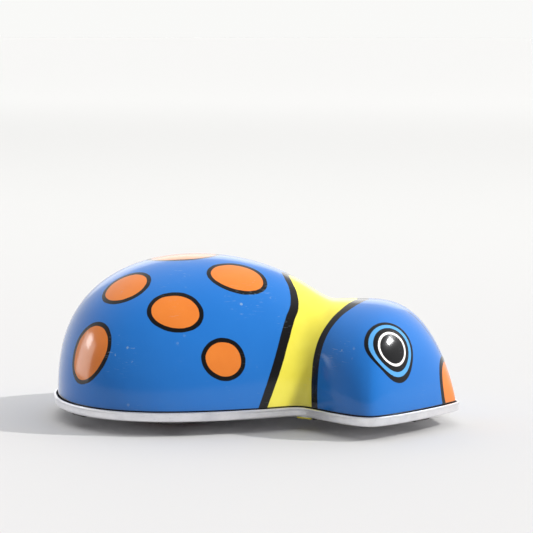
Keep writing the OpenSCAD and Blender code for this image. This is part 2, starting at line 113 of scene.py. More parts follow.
def half_width(x):
    x = np.asarray(x, float) / MM
    tail = lobe((BODY_X - x) / (END_X + BODY_X), 2, 2)
    body = np.where(x < BODY_X, tail, lobe(eased((x - BODY_X) / BODY_REACH), 1.28, 1.39))
    front = lobe(eased((x - HEAD_X) / (END_X - HEAD_X)), 1.1, 1.15)
    head = np.where(x < HEAD_X, lobe(eased((HEAD_X - x) / HEAD_REACH), 1.05, 2.12), front)
    return blend(BODY_HALF * body, HEAD_HALF * head, WIDTH_BLEND)


def height(x):
    x = np.asarray(x, float) / MM
    tail = lobe((BACK_X - x) / (END_X + BACK_X), 2.25, 2.55)
    back = np.where(x < BACK_X, tail, lobe((x - BACK_X) / BACK_REACH, 2.25, 2.55))
    front = lobe((x - CROWN_X) / (END_X - CROWN_X), 2.8, 1.25)
    crown = np.where(x < CROWN_X, lobe((CROWN_X - x) / CROWN_REACH, 2.8, 2), front)
    return blend(BACK_H * back, CROWN_H * crown, HEIGHT_BLEND)


def bent(v):
    return np.sign(v) * np.abs(v) ** (2 / SECTION_POWER)


def skin(x, arc, inset=0.0):
    """Points of the shell: arc is 0 at the left rim, pi/2 on the crest and pi at the right rim."""
    w = half_width(x) * (1 - inset / BODY_HALF)
    h = height(x) * (1 - inset / BACK_H)
    along = x * (1 - inset / HALF_L)
    y, z = w * bent(np.cos(arc)), RIM_Z + h * bent(np.sin(arc))
    return np.stack(np.broadcast_arrays(along, y, z), -1)


def side_y(x, z, inset=0.0):
    """Distance of the left wall from the middle plane, at a place seen from the side."""
    h = height(x) * (1 - inset / BACK_H)
    w = half_width(x) * (1 - inset / BODY_HALF)
    return w * (1 - np.clip((z - RIM_Z) / h, 0, 1) ** SECTION_POWER) ** (1 / SECTION_POWER)


def tangent_frame(x, arc_deg):
    """Centre, forward and upward directions on the right half, arc measured from its rim."""
    arc = math.radians(180 - arc_deg)
    step = 1e-4
    centre = Vector(skin(x, arc))
    ahead = Vector(skin(x + step * 0.1, arc) - skin(x - step * 0.1, arc))
    up = Vector(skin(x, arc - step) - skin(x, arc + step))
    normal = up.cross(ahead).normalized()
    if normal.dot(Vector((0, centre.y, centre.z - RIM_Z))) < 0:
        normal.negate()
    forward = (Vector((1, 0, 0)) - normal * normal.x).normalized()
    upward = normal.cross(forward)
    if upward.z < 0:
        upward.negate()
    return centre, forward, upward, normal


EYE = tangent_frame(33.35 * MM, 40.3)  # the right eye's place along the toy and up the arc
PUPIL_R = 2.9 * MM
PUPIL_RISE = 0.04 * MM


# ---------------------------------------------------------------- pieces
def piece(name, verts, faces, body, nodes, materials, sharp=35, face_slots=None):
    """A mesh object on a body, standing for CAD nodes, smooth except at edges sharper than sharp."""
    mesh = bpy.data.meshes.new(name)
    mesh.from_pydata([tuple(map(float, v)) for v in verts], [], [tuple(map(int, f)) for f in faces])
    if face_slots is not None:
        mesh.polygons.foreach_set("material_index", np.asarray(face_slots, np.int32))
    bm = bmesh.new()
    bm.from_mesh(mesh)
    bmesh.ops.remove_doubles(bm, verts=bm.verts, dist=2e-7)
    bmesh.ops.dissolve_degenerate(bm, edges=bm.edges, dist=1e-8)
    bmesh.ops.recalc_face_normals(bm, faces=bm.faces)
    bm.to_mesh(mesh)
    bm.free()
    mesh.polygons.foreach_set("use_smooth", [True] * len(mesh.polygons))
    mesh.set_sharp_from_angle(angle=math.radians(sharp))
    for m in materials:
        mesh.materials.append(m)
    obj = bpy.data.objects.new(name, mesh)
    bpy.context.scene.collection.objects.link(obj)
    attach(obj, body)
    if nodes:
        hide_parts(*nodes)
    return obj


def spread(count, weight):
    """count + 1 places from 0 to 1, closer together where weight is larger."""
    fine = np.linspace(0, 1, 4001)
    total = np.concatenate([[0], np.cumsum(weight((fine[1:] + fine[:-1]) / 2))])
    return np.interp(np.linspace(0, total[-1], count + 1), total, fine)


def bump_at(values, centre, width):
    return np.exp(-(((values - centre) / width) ** 4))


# ---------------------------------------------------------------- shader arithmetic
class Field:
    """A number that varies over a surface: the output of a shader node, with arithmetic."""

    tree = None

    def __init__(self, socket):
        self.socket = socket

    def __add__(self, other):
        return calc("ADD", self, other)

    def __sub__(self, other):
        return calc("SUBTRACT", self, other)

    def __mul__(self, other):
        return calc("MULTIPLY", self, other)

    def __truediv__(self, other):
        return calc("DIVIDE", self, other)

    def __neg__(self):
        return calc("MULTIPLY", self, -1.0)


def feed(socket, value):
    """Links a field to a socket, or sets the socket to a plain value."""
    if isinstance(value, Field):
        Field.tree.links.new(value.socket, socket)
    elif hasattr(socket.default_value, "__len__"):
        socket.default_value = tuple(value)
    else:
        socket.default_value = value


def calc(kind, *values):
    node = Field.tree.nodes.new("ShaderNodeMath")
    node.operation = kind
    for socket, value in zip(node.inputs, values):
        feed(socket, value)
    return Field(node.outputs[0])


def vector(kind, *values, out=0):
    node = Field.tree.nodes.new("ShaderNodeVectorMath")
    node.operation = kind
    for socket, value in zip(node.inputs, values):
        feed(socket, value)
    return Field(node.outputs[out])


def split(place):
    node = Field.tree.nodes.new("ShaderNodeSeparateXYZ")
    feed(node.inputs[0], place)
    return [Field(s) for s in node.outputs]


def joined(x, y, z):
    node = Field.tree.nodes.new("ShaderNodeCombineXYZ")
    for socket, value in zip(node.inputs, (x, y, z)):
        feed(socket, value)
    return Field(node.outputs[0])


def ramp(value, start, end, low=0.0, high=1.0):
    """low before start, high after end."""
    node = Field.tree.nodes.new("ShaderNodeMapRange")
    node.interpolation_type = "SMOOTHSTEP"
    for name, v in (("Value", value), ("From Min", start), ("From Max", end),
                    ("To Min", low), ("To Max", high)):
        feed(node.inputs[name], v)
    return Field(node.outputs[0])


def curve(value, points, low, high):
    """A smooth curve through points, whose first numbers run from 0 to 1, scaled to low..high."""
    node = Field.tree.nodes.new("ShaderNodeFloatCurve")
    line = node.mapping.curves[0]
    ends = [line.points[0], line.points[-1]]
    for end, (u, v) in zip(ends, (points[0], points[-1])):
        end.location = (u, (v - low) / (high - low))
    for u, v in points[1:-1]:
        line.points.new(u, (v - low) / (high - low))
    node.mapping.update()
    feed(node.inputs["Value"], value)
    return Field(node.outputs[0]) * (high - low) + low


def noise(place, scale, detail=2.0, rough=0.5):
    node = Field.tree.nodes.new("ShaderNodeTexNoise")
    feed(node.inputs["Vector"], place)
    node.inputs["Scale"].default_value = scale
    node.inputs["Detail"].default_value = detail
    node.inputs["Roughness"].default_value = rough
    return Field(node.outputs[0])


def cells(place, scale):
    """Distance from the middles of scattered cells."""
    node = Field.tree.nodes.new("ShaderNodeTexVoronoi")
    feed(node.inputs["Vector"], place)
    node.inputs["Scale"].default_value = scale
    return Field(node.outputs["Distance"])


def paint(mask, below, above):
    """Colour above where mask is 1, over colour below."""
    node = Field.tree.nodes.new("ShaderNodeMix")
    node.data_type = "RGBA"
    feed(node.inputs[0], mask)
    for socket, value in ((node.inputs[6], below), (node.inputs[7], above)):
        if isinstance(value, Field):
            feed(socket, value)
        else:
            socket.default_value = (*value, 1.0)
    return Field(node.outputs[2])


def object_place():
    """The place on the object, in millimetres."""
    node = Field.tree.nodes.new("ShaderNodeTexCoord")
    scaled = Field.tree.nodes.new("ShaderNodeVectorMath")
    scaled.operation = "SCALE"
    scaled.inputs["Scale"].default_value = 1 / MM
    Field.tree.links.new(node.outputs["Object"], scaled.inputs[0])
    return Field(scaled.outputs[0])


def material(name, **constants):
    """A Principled material whose uniform values are set on the shader's own sockets."""
    made = bpy.data.materials.new(name)
    made.use_nodes = True
    Field.tree = made.node_tree
    shader = made.node_tree.nodes["Principled BSDF"]
    for socket, value in constants.items():
        shader.inputs[socket.replace("_", " ")].default_value = value
    return made, shader


def relief(shader, height_field, depth, strength=1.0):
    """Bump of the given depth in metres."""
    node = Field.tree.nodes.new("ShaderNodeBump")
    node.inputs["Strength"].default_value = strength
    node.inputs["Distance"].default_value = depth
    feed(node.inputs["Height"], height_field)
    Field.tree.links.new(node.outputs[0], shader.inputs["Normal"])


def srgb(r, g, b):
    def linear(c):
        c = c / 255
        return c / 12.92 if c <= 0.04045 else ((c + 0.055) / 1.055) ** 2.4
    return tuple(linear(c) for c in (r, g, b))


# ---------------------------------------------------------------- the printed design
INK_BLUE = srgb(25, 101, 180)
INK_ORANGE = srgb(214, 122, 48)
INK_YELLOW = srgb(230, 220, 88)
INK_BLACK = srgb(7, 7, 9)
INK_SKY = srgb(78, 150, 208)
INK_WHITE = srgb(240, 238, 236)

# Spots: place along the toy, arc up from the rim in degrees, two half-sizes, turn of the
# first one from the horizontal in degrees, and how much the shape widens along it.
SPOTS = [
    (-32.2, 24, 6.5, 5.0, 62, 0.08),
    (-26.0, 58.5, 4.35, 5.3, 95, 0.02),
    (-13.1, 41, 4.15, 5.5, 84, -0.03),
    (-2.2, 20, 3.85, 4.2, 65, -0.05),
    (-1.9, 66.5, 4.35, 6.1, 89, -0.08),
    (-16.7, 90, 7.6, 5.9, 0, 0.0),
]
OUTLINE = 0.7
# Eye rings from the pupil outwards: half-width, and how far they reach out at the top
# and towards the pointed lower corner.
EYE_RINGS = [(3.08, 0.5, 0.1), (3.48, 0.65, 0.25), (4.35, 0.8, 0.6), (5.05, 0.9, 0.95),
             (5.65, 1.0, 1.6)]


# Worn patches: place along the toy, arc up from the right rim in degrees, and radius. The one at 8.8
# on the wing line is also a painted highlight, standing for a glint of the sun on a pressed ridge
# there.
SCUFFS_AND_GLINT = [(0.5, 49, 6.0), (8.8, 43, 2.6), (-24.0, 22, 6.0), (22.0, 34, 5.0), (18.0, 150, 7.0),
          (-12.0, 128, 8.0)]


def local(place, frame_at):
    centre, forward, upward, _ = frame_at
    offset = vector("SUBTRACT", place, centre / MM)
    return (vector("DOT_PRODUCT", offset, forward, out=1),
            vector("DOT_PRODUCT", offset, upward, out=1))


def hypot(u, v):
    return calc("SQRT", u * u + v * v)


def egg(place, x, arc, first, second, turn, widening):
    """Distance outside an egg-shaped spot, negative inside."""
    centre, forward, upward, normal = tangent_frame(x * MM, arc)
    t = math.radians(turn)
    axes = (centre, forward * math.cos(t) + upward * math.sin(t),
            upward * math.cos(t) - forward * math.sin(t), normal)
    u, v = local(place, axes)
    scaled_u = u / first
    scaled_v = v / ((scaled_u * widening + 1.0) * second)
    reach = hypot(u, v)
    return reach - reach / hypot(scaled_u, scaled_v)


def printed_tin():
    made, shader = material(
        "printed_tin", Coat_Weight=1.0, Coat_Roughness=0.12, Coat_IOR=1.42,
        Specular_IOR_Level=0.05)
    raw = object_place()
    x, y, z = split(raw)
    side = calc("ABSOLUTE", y)
    place = joined(x, -side, z)
    arc = calc("ARCTAN2", calc("MAXIMUM", z - RIM_Z / MM, 0.0), side) / (math.pi / 2)
    wobble = noise(raw, 0.35, 1) * 0.3 - 0.15

    def ink(distance, edge, soft=0.07):
        return ramp(distance, edge - soft, edge + soft, 1.0, 0.0)

    tint = noise(raw, 0.09, 3) * 0.16 + 0.92
    blue = paint(tint - 0.9, INK_BLUE, srgb(54, 134, 204))
    colour = blue
    # Yellow collar between the wings' front edge and the back of the head
    wing_x = curve(arc, [(0, 5.6), (0.33, 8.2), (0.56, 9.5), (0.67, 10.1), (0.76, 10.6),
                         (0.86, 9.6), (0.91, 8.4), (1, 6.6)], 0, 30)
    head_x = curve(arc, [(0, 16.5), (0.25, 16.4), (0.44, 16.7), (0.58, 17.8), (0.69, 19.7),
                         (0.82, 22.3), (1, 24.4)], 0, 30)
    from_wing = x - wing_x
    from_head = x - head_x
    yellow = paint(noise(raw, 0.2, 2), INK_YELLOW, srgb(216, 203, 62))
    colour = paint(ramp(from_wing, -0.1, 0.1) * ramp(from_head, -0.1, 0.1, 1.0, 0.0), colour, yellow)
    # Spots with their outlines
    spots = None
    for spot in SPOTS:
        distance = egg(place, *spot) + wobble
        spots = distance if spots is None else calc("MINIMUM", spots, distance)
    orange = paint(noise(raw, 0.25, 2), INK_ORANGE, srgb(203, 110, 40))
    colour = paint(ink(spots, OUTLINE), colour, INK_BLACK)
    colour = paint(ink(spots, -0.27), colour, orange)
    # Nose patch
    nose_z = (z - RIM_Z / MM - 3.2) / 6.7
    nose_y = y / 5.1
    nose = (calc("POWER", calc("ABSOLUTE", nose_z), 2.3)
            + calc("POWER", calc("ABSOLUTE", nose_y), 2.3))
    nose = (calc("POWER", nose, 1 / 2.3) - 1.0) * 5.4 + ramp(x, 36, 34, 0.0, 20.0)
    colour = paint(ink(nose, 0.0), colour, INK_BLACK)
    colour = paint(ink(nose, -1.0), colour, orange)
    # Lines along the crest, round the collar and down the wings
    crest = side - 0.22 + ramp(from_wing, -0.3, 0.0, 0.0, 5.0) * ramp(from_head, -0.3, 0.0, 1.0, 0.0)
    crest = crest + ink(spots, 0.4) * 5.0 + ink(nose, -0.3) * 5.0
    colour = paint(ink(crest, 0.0), colour, INK_BLACK)
    wing_line = calc("ABSOLUTE", from_wing) - 0.86
    head_line = calc("ABSOLUTE", from_head) - curve(
        arc, [(0, 0.75), (0.5, 0.85), (0.7, 1.0), (0.85, 1.2), (1, 1.3)], 0, 2)
    lines = calc("MINIMUM", wing_line, head_line) + wobble * 0.4
    colour = paint(ink(lines, 0.0), colour, INK_BLACK)
    # Eyes
    u, v = local(place, EYE)
    reach = hypot(u, v)
    angle = calc("ARCTAN2", v, u)
    top = calc("POWER", calc("MAXIMUM", calc("COSINE", angle - math.radians(95)), 0.0), 2.0)
    tip = calc("POWER", calc("MAXIMUM", calc("COSINE", angle - math.radians(-57)), 0.0), 5.0)
    rear = calc("POWER", calc("MAXIMUM", calc("COSINE", angle - math.pi), 0.0), 2.0)
    inks = [INK_BLACK, INK_WHITE, INK_BLACK, INK_SKY, INK_BLACK]
    for (ring, ring_top, ring_tip), above in reversed(list(zip(EYE_RINGS, inks))):
        edge = reach - top * ring_top - tip * ring_tip - rear * ((ring - 2.6) * 0.11)
        colour = paint(ink(edge, ring), colour, above)
    # Wear: fine pale scratches and flecks, more of them in a few patches; on the wing line the pale
    # marks are also a painted highlight, for a glint there
    wear_and_glint_patches = ramp(noise(raw, 0.11, 3), 0.52, 0.68)
    for spot_x, spot_arc, reach in SCUFFS_AND_GLINT:
        centre = Vector(skin(spot_x * MM, math.pi - math.radians(spot_arc))) / MM
        away = vector("DISTANCE", raw, centre, out=1)
        wear_and_glint_patches = calc("MAXIMUM", wear_and_glint_patches, ramp(away, reach, reach * 0.3) * 1.6)
    streaked = vector("MULTIPLY", raw, (0.5, 0.5, 5.0))
    scratches = ramp(noise(streaked, 1.1, 3, 0.6), 0.6, 0.7) * wear_and_glint_patches
    flecks = ramp(cells(raw, 0.5), 0.2, 0.12) * ramp(noise(raw, 0.9, 2), 0.5, 0.58) * wear_and_glint_patches
    wear_and_glint = calc("MINIMUM", scratches * 0.2 + flecks * 0.32, 0.6)
    colour = paint(wear_and_glint, colour, srgb(150, 172, 186))
    # Painted shade: a black band along the shell's foot, standing for the shade in the gap behind the
    # pan's wall, wider at the tail
    groove = ramp(z - ramp(x, -36, -44, 0.0, 0.55), RIM_Z / MM + 0.12, RIM_Z / MM + 0.3, 1.0, 0.0)
    colour = paint(groove * ramp(z, RIM_Z / MM - 1.0, RIM_Z / MM - 0.8), colour, INK_BLACK)
    feed(shader.inputs["Base Color"], colour)
    rough = noise(raw, 0.5, 3) * 0.1 + 0.26 + wear_and_glint * 0.3
    feed(shader.inputs["Roughness"], rough)
    relief(shader, noise(raw, 0.12, 2) * 6.0 + noise(raw, 2.2, 2) * 0.12 - wear_and_glint * 0.4, 0.02 * MM, 0.6)
    return made


def metal(name, colour, dark, rough, scale=1.0, brushed=(1, 1, 1), patina=0.35, dents=0.01):
    """Bare metal: patchy tone, fine directional scratches and slightly uneven gloss."""
    made, shader = material(name, Metallic=1.0)
    place = object_place()
    tone = ramp(noise(place, 0.25 * scale, 4, 0.6), 0.35, 0.75)
    grain = noise(vector("MULTIPLY", place, brushed), 2.5 * scale, 4, 0.65)
    scratches = ramp(noise(vector("MULTIPLY", place, (0.3, 4.0, 1.7)), 1.4 * scale, 3), 0.64, 0.72)
    mixed = paint(tone * patina + scratches * 0.25, colour, dark)
    feed(shader.inputs["Base Color"], mixed)
    feed(shader.inputs["Roughness"], tone * 0.12 + grain * 0.16 + scratches * 0.15 + (rough - 0.12))
    relief(shader, grain + scratches * -0.8 + noise(place, 0.3 * scale, 2) * 3.0, dents * MM, 0.7)
    return made


def plastic(name, colour, light, rough):
    """Moulded plastic: faint flow marks, a fine matt grain and rubbed high spots."""
    made, shader = material(name, Specular_IOR_Level=0.45)
    place = object_place()
    flow = noise(place, 0.35, 3, 0.6)
    rubbed = ramp(noise(place, 1.2, 4, 0.7), 0.58, 0.72)
    feed(shader.inputs["Base Color"], paint(flow * 0.5 + rubbed * 0.35, colour, light))
    feed(shader.inputs["Roughness"], noise(place, 3.0, 2) * 0.15 + rubbed * 0.12 + rough)
    relief(shader, noise(place, 6.0, 2) + rubbed * 0.5, 0.015 * MM, 0.6)
    return made


PRINTED = printed_tin()
ROLLED = (0.6, 0.6, 3)  # grain of rolled tinplate
BARE = metal("bare_tin", srgb(226, 227, 230), srgb(176, 178, 184), 0.34, 0.8, ROLLED, 0.4, 0.012)
DULL_TIN = metal("dull_tin", srgb(112, 110, 110), srgb(78, 76, 76), 0.45, 0.8, ROLLED, 0.5, 0.012)
STEEL = metal("steel", srgb(196, 196, 198), srgb(140, 138, 136), 0.36, 1.4, (4, 1, 1), 0.4)
SPRING = metal("spring_steel", srgb(104, 110, 132), srgb(66, 66, 82), 0.3, 1.2, (1, 4, 1), 0.6)
BRASS = metal("brass", srgb(214, 178, 104), srgb(166, 126, 66), 0.3, 1.3, (1, 5, 1), 0.45)
NICKEL = metal("key_steel", srgb(214, 212, 206), srgb(168, 162, 150), 0.22, 1.2, (1, 4, 1), 0.35)
PAN_TIN = metal("pan_tin", srgb(246, 246, 248), srgb(214, 214, 220), 0.42, 0.7, ROLLED, 0.5, 0.015)
PLATED = metal("plated_sheet", srgb(206, 206, 204), srgb(160, 158, 152), 0.38, 1.0, (1, 5, 1),
               0.45, 0.012)
RED = plastic("red_plastic", srgb(124, 22, 20), srgb(160, 40, 34), 0.36)


# ---------------------------------------------------------------- shell
LENGTH_STEPS, OUTER_STEPS, INNER_STEPS = 250, 170, 60
SKIRT_Z = FLOOR_Z + 0.05 * MM  # the lower edge of the shell
KEY_HOLE_R = 2.2 * MM


def shell_grid(around, inset):
    """Rows of points from tail to nose: skirt edge, arc, skirt edge."""
    tip_weight = lambda t: 1 + 0.9 * bump_at(-np.cos(math.pi * t) * HALF_L, 33 * MM, 5 * MM)
    along = -HALF_L * np.cos(math.pi * spread(LENGTH_STEPS, tip_weight))
    along[0], along[-1] = -HALF_L, HALF_L
    rows = skin(along[:, None], around[None, :], inset)
    low = rows[:, [0, -1]].copy()
    low[:, :, 2] = SKIRT_Z
    return along, np.concatenate([low[:, :1], rows, low[:, 1:]], axis=1)


def raise_pupils(points):
    """Embosses a low dome in each eye."""
    centre, forward, upward, normal = (np.array(v) for v in EYE)
    for s in (1, -1):
        mirror = np.array([1, s, 1])
        offset = points * mirror - centre
        reach = np.hypot(offset @ forward, offset @ upward) / PUPIL_R
        near = (np.abs(offset @ normal) < 3 * MM) & (reach < 1)
        rise = PUPIL_RISE * (1 - np.clip(reach, 0, 1) ** 2) * near
        points = points + rise[..., None] * normal * mirror
    return points


def grid_with_hole(along, points, inset, flip):
    """Faces of the grid, with a round hole for the winding shaft in the left wall."""
    rows, cols = points.shape[:2]
    index = np.arange(rows * cols).reshape(rows, cols)
    verts = [tuple(p) for p in points.reshape(-1, 3)]
    reach = 1.35 * KEY_HOLE_R
    i_in = np.where(np.abs(along - KEY_AT.x) < reach)[0]
    heights = points[i_in[len(i_in) // 2], :, 2]
    left = points[i_in[0], :, 1] > 0
    j_in = np.where((np.abs(heights - KEY_AT.z) < reach) & left)[0]
    i0, i1, j0, j1 = i_in[0], i_in[-1], j_in[0], j_in[-1]
    faces = []
    for i in range(rows - 1):
        for j in range(cols - 1):
            if not (i0 <= i < i1 and j0 <= j < j1):
                faces.append((index[i, j], index[i + 1, j], index[i + 1, j + 1], index[i, j + 1]))
    loop = ([index[i, j0] for i in range(i0, i1)] + [index[i1, j] for j in range(j0, j1)]
            + [index[i, j1] for i in range(i1, i0, -1)] + [index[i0, j] for j in range(j1, j0, -1)])
    rim = np.array([verts[k] for k in loop])
    turn = np.arctan2(rim[:, 2] - KEY_AT.z, rim[:, 0] - KEY_AT.x)
    circle = np.stack([KEY_AT.x + KEY_HOLE_R * np.cos(turn),
                       KEY_AT.z + KEY_HOLE_R * np.sin(turn)], -1)
    previous = loop
    for step in (0.35, 0.7, 1.0):
        flat = rim[:, [0, 2]] * (1 - step) + circle * step
        y = side_y(flat[:, 0], flat[:, 1], inset)
        ring = list(range(len(verts), len(verts) + len(loop)))
        verts += [(p[0], q, p[1]) for p, q in zip(flat, y)]
        for k in range(len(loop)):
            n = (k + 1) % len(loop)
            faces.append((previous[k], previous[n], ring[n], ring[k]))
        previous = ring
    if flip:
        faces = [f[::-1] for f in faces]
    return verts, faces, previous, index


def shell():
    """The printed shell: an outer and an inner skin, joined at the skirt and the shaft hole."""
    eye_weight = lambda t: 1 + 0.9 * (bump_at(t, 0.22, 0.1) + bump_at(t, 0.78, 0.1))
    along, outer = shell_grid(math.pi * spread(OUTER_STEPS, eye_weight), 0)
    inner = shell_grid(np.linspace(0, math.pi, INNER_STEPS + 1), SHELL_T)[1]
    outer = raise_pupils(outer)
    verts, faces, hole, index = grid_with_hole(along, outer, 0, False)
    verts2, faces2, hole2, index2 = grid_with_hole(along, inner, SHELL_T, True)
    base = len(verts)
    slots = [0] * len(faces) + [1] * len(faces2)
    verts += verts2
    faces += [tuple(k + base for k in f) for f in faces2]
    for j, j2 in ((0, 0), (-1, -1)):
        for i in range(len(along) - 1):
            faces.append((index[i, j], index2[i, j2] + base,
                          index2[i + 1, j2] + base, index[i + 1, j]))
            slots.append(1)
    # The wall of the shaft hole: both rings run round it, matched by angle
    def turn_of(k):
        return math.atan2(verts[k][2] - KEY_AT.z, verts[k][0] - KEY_AT.x)
    inside = sorted((k + base for k in hole2), key=turn_of)
    outside = sorted(hole, key=turn_of)
    faces += stitched(outside, inside, [turn_of(k) for k in outside], [turn_of(k) for k in inside])
    slots += [1] * (len(faces) - len(slots))
    piece("shell_printed", verts, faces, "toy", ["shell"], [PRINTED, BARE], 38, slots)


def stitched(first, second, first_turn, second_turn):
    """Triangles between two closed rings whose points are sorted by angle."""
    faces, i, j = [], 0, 0
    m, n = len(first), len(second)
    while i < m or j < n:
        next_i = first_turn[(i + 1) % m] + 2 * math.pi * ((i + 1) // m)
        next_j = second_turn[(j + 1) % n] + 2 * math.pi * ((j + 1) // n)
        if j >= n or (i < m and next_i <= next_j):
            faces.append((first[i % m], first[(i + 1) % m], second[j % n]))
            i += 1
        else:
            faces.append((first[i % m], second[(j + 1) % n], second[j % n]))
            j += 1
    return faces


shell()


class Shape:
    """Points, faces and material slots, gathered from several closed forms."""

    def __init__(self):
        self.verts, self.faces, self.slots = [], [], []

    def add(self, verts, faces, slot=0):
        base = len(self.verts)
        self.verts += [tuple(v) for v in verts]
        self.faces += [tuple(k + base for k in f) for f in faces]
        self.slots += [slot] * len(faces)

    def grid(self, rows, slot=0, close_rows=False, close_cols=False):
        """A net of quads over rows of points; a closed one comes back to its first row or column."""
        rows = np.asarray(rows)
        m, n = rows.shape[:2]
        faces = []
        for i in range(m if close_rows else m - 1):
            for j in range(n if close_cols else n - 1):
                a, b = i * n + j, i * n + (j + 1) % n
                c, d = (i + 1) % m * n + (j + 1) % n, (i + 1) % m * n + j
                faces.append((a, b, c, d))
        self.add(rows.reshape(-1, 3), faces, slot)

    def piece(self, name, body, slot, nodes, materials, sharp=35):
        return piece(name, self.verts, self.faces, body, nodes, materials, sharp, self.slots)


def rounded(points, radius, steps=4):
    """The same closed outline with its corners rounded off."""
    made = []
    count = len(points)
    for k in range(count):
        before, corner, after = (np.array(points[(k + s) % count], float) for s in (-1, 0, 1))
        a = corner + (before - corner) / np.linalg.norm(before - corner) * radius
        b = corner + (after - corner) / np.linalg.norm(after - corner) * radius
        for t in np.linspace(0, 1, steps + 1):
            made.append(a * (1 - t) ** 2 + corner * 2 * t * (1 - t) + b * t**2)
    return np.array(made)


def turned(profile, centre, segments, ripple=None):
    """Rows of points for a profile of (radius, y) turned about a line along y."""
    angles = np.linspace(0, 2 * math.pi, segments, endpoint=False)
    rows = []
    for r, y in profile:
        radius = r if ripple is None else ripple(r, y, angles)
        rows.append(np.stack([centre.x + radius * np.cos(angles), np.full(segments, centre.y + y),
                              centre.z + radius * np.sin(angles)], -1))
    return rows


def level_ring(ring, z):
    """A flat ring of (x, y) points, put at a height."""
    return np.column_stack([ring, np.full(len(ring), z)])


def inside(ring, points):
    """Which points lie in a closed ring."""
    hit = np.zeros(len(points), bool)
    for a, b in zip(ring, np.roll(ring, -1, axis=0)):
        spans = (a[1] > points[:, 1]) != (b[1] > points[:, 1])
        with np.errstate(divide="ignore", invalid="ignore"):
            cross = a[0] + (points[:, 1] - a[1]) / (b[1] - a[1]) * (b[0] - a[0])
        hit ^= spans & (points[:, 0] < cross)
    return hit


def filled(outer, holes, creases=()):
    """Points and faces of the flat sheet inside a ring, less its holes; edges follow the creases."""
    points, edges = [], []
    for ring in [outer, *holes, *creases]:
        base = len(points)
        points += [Vector(p) / MM for p in ring]
        edges += [(base + k, base + (k + 1) % len(ring)) for k in range(len(ring))]
    found = delaunay_2d_cdt(points, edges, [], 0, 1e-6)
    flat = np.array([tuple(v) for v in found[0]]) * MM
    middles = np.array([flat[list(f)].mean(axis=0) for f in found[2]])
    keep = inside(outer, middles)
    for ring in holes:
        keep &= ~inside(ring, middles)
    return flat, [f for f, k in zip(found[2], keep) if k]


# ---------------------------------------------------------------- base pan
def plan_outline(offset, count=420):
    """The shell's outline in plan, moved outwards, as a closed ring."""
    t = np.linspace(0, 2 * math.pi, count, endpoint=False)
    x = -HALF_L * np.cos(t)
    y = half_width(x) * np.where(np.sin(t) >= 0, -1, 1)
    ends = np.abs(np.sin(t)) < 1e-9
    y[ends] = 0
    run = np.stack([np.roll(x, -1) - np.roll(x, 1), np.roll(y, -1) - np.roll(y, 1)], -1)
    run /= np.linalg.norm(run, axis=1)[:, None]
    return np.stack([x + run[:, 1] * offset, y - run[:, 0] * offset], -1)


# Tabs: where each one starts and ends along the toy, on both sides; the neck's are printed
NECK_TAB = (12.3, 16.4)
TABS = [(-36.7, -33.5), (-14.8, -10.1), NECK_TAB, (38.2, 40.5)]
TAB_LEG = 2.6 * MM
TAB_SLACK = 0.1 * MM
TAB_BEND = 0.62 * MM
WHEEL_SLOT_HALF = (8.5 * MM, 2.5 * MM)
ROLLER_SLOT_HALF = (5.2 * MM, 2.2 * MM)
PAD_X, PAD_HALF, PAD_SLOPE = 10 * MM, (5.5 * MM, 7 * MM), 0.6 * MM


def tab_line(x0, x1, side):
    """The two ends of a tab in plan, and the direction inwards."""
    x = np.array([x0, x1]) * MM
    y = half_width(x) * side
    run = np.array([x[1] - x[0], y[1] - y[0]])
    run /= np.linalg.norm(run)
    inward = np.array([run[1], -run[0]]) * side
    return np.stack([x, y], -1), run, inward


def box_ring(x, y, half_l, half_w, radius, steps):
    """A rectangle round (x, y) with rounded corners."""
    return rounded([(x - half_l, y - half_w), (x + half_l, y - half_w),
                    (x + half_l, y + half_w), (x - half_l, y + half_w)], radius, steps)


def slot_rings():
    """Outlines of the openings in the pan's floor."""
    rings = []
    for s in (1, -1):
        rings.append(box_ring(AXLE_AT.x, s * WHEEL_Y, *WHEEL_SLOT_HALF, 1.2 * MM, 5))
        for x0, x1 in TABS:
            ends, run, inward = tab_line(x0, x1, s)
            a, b = ends[0] - run * 0.3 * MM, ends[1] + run * 0.3 * MM
            low, high = -0.15 * MM, TAB_BEND
            rings.append(rounded([a + inward * low, b + inward * low,
                                  b + inward * high, a + inward * high], 0.15 * MM, 2))
    rings.append(box_ring(ROLLER_AT.x, 0, *ROLLER_SLOT_HALF, 0.8 * MM, 5))
    return rings


def pan_floor(outer, level, openings, shape):
    """A flat sheet inside a ring, with openings and the pressed-down pad."""
    pad = box_ring(PAD_X, 0, *PAD_HALF, 1.5 * MM, 6)
    middle_of_pad = pad.mean(axis=0)
    grown = middle_of_pad + (pad - middle_of_pad) * (1 + PAD_SLOPE / np.array(PAD_HALF))
    flat, faces = filled(outer, openings, [pad, grown])
    pressed = inside(middle_of_pad + (pad - middle_of_pad) * 1.001, flat)
    shape.add(np.column_stack([flat, np.where(pressed, level - PAD_DROP, level)]), faces)


